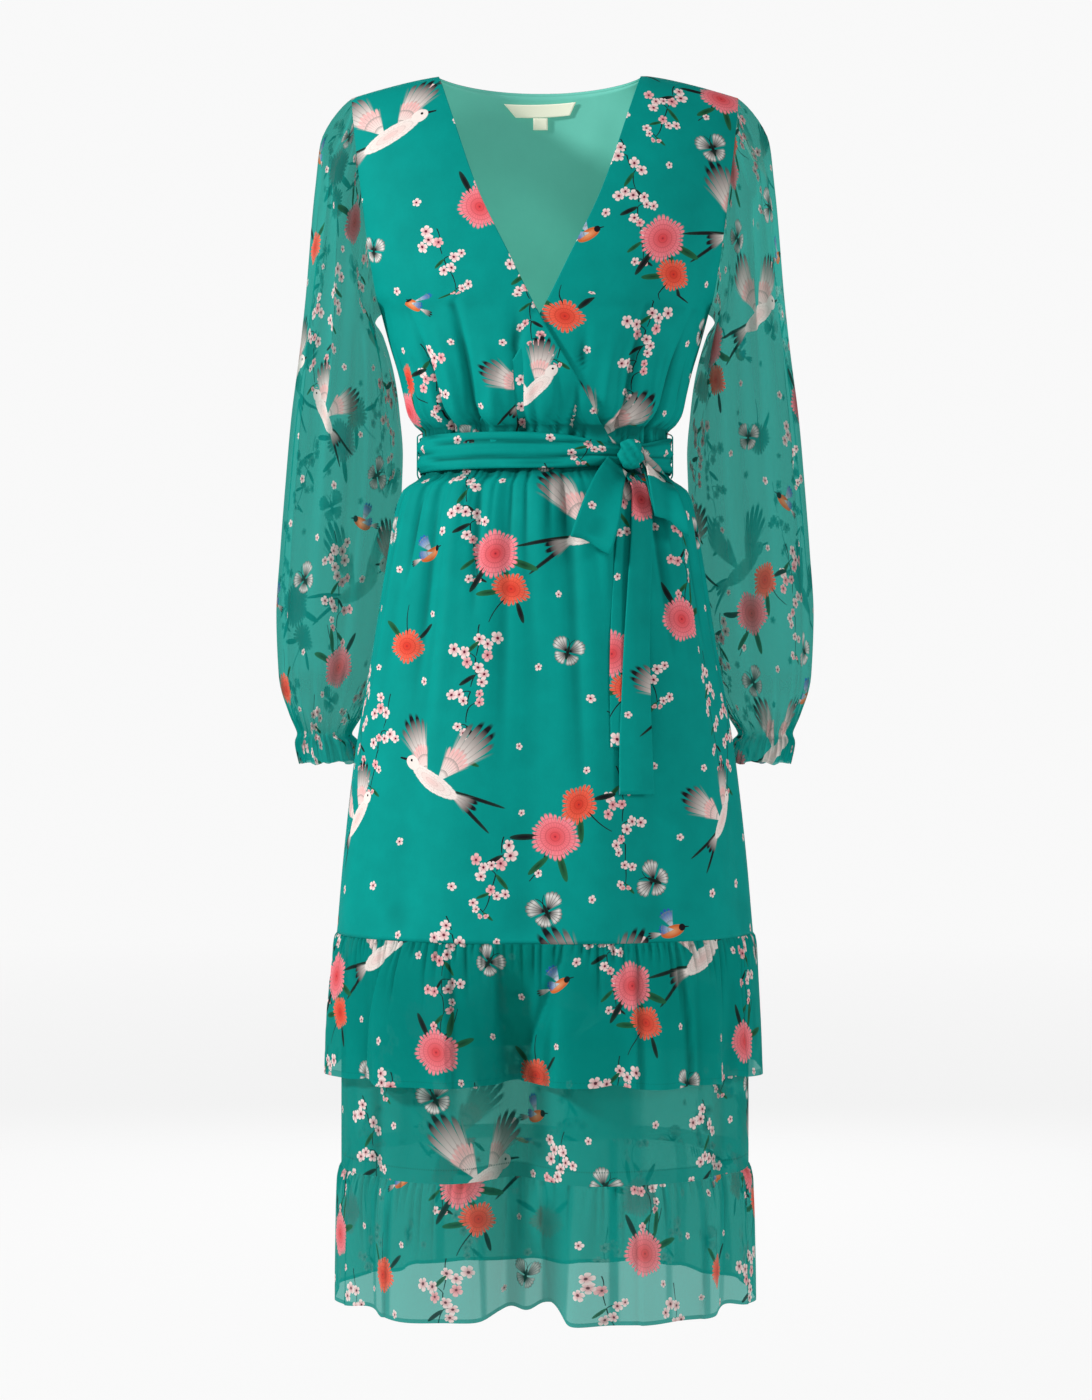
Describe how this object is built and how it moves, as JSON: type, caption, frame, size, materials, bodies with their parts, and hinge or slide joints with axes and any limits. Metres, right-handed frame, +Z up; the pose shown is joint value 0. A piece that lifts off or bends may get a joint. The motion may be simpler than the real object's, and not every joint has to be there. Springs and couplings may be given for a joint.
{
  "type": "wrap dress",
  "caption": "Midi wrap dress with a crossed V neck, long balloon sleeves, a tied belt and gathered flounces, in sheer and lined cloth.",
  "frame": {"origin": "between the wearer's shoulders, level with the high shoulder points where the neck meets the shoulder seams, which is where the wearer's shoulders hold the dress up", "axes": "+Z up, -Y out of the front of the dress, +X to the wearer's left"},
  "size_m": [0.5434, 0.3547, 1.1916],
  "materials": {
    "dress_cloth": "smooth woven crepe, lined",
    "sheer_cloth": "sheer chiffon",
    "lining": "smooth lining",
    "label": "woven label, bare"
  },
  "bodies": {
    "root": {"bodice_front_right": "dress_cloth", "bodice_front_left": "dress_cloth", "bodice_back": "dress_cloth", "skirt_front": "dress_cloth", "skirt_back": "dress_cloth", "sash_band": "dress_cloth", "sash_knot": "dress_cloth", "sash_loop_right": "dress_cloth", "sash_loop_left": "dress_cloth", "sash_tail_front": "dress_cloth", "sash_tail_back": "dress_cloth", "belt_carrier_right": "dress_cloth", "belt_carrier_left": "dress_cloth", "sleeve_right": "sheer_cloth", "sleeve_left": "sheer_cloth", "upper_flounce_front": "sheer_cloth", "upper_flounce_back": "sheer_cloth", "lower_skirt_front": "sheer_cloth", "lower_skirt_back": "sheer_cloth", "lower_flounce_front": "sheer_cloth", "lower_flounce_back": "sheer_cloth", "back_lining": "lining", "neck_label": "label", "size_tab": "label"}
  },
  "joints": []
}
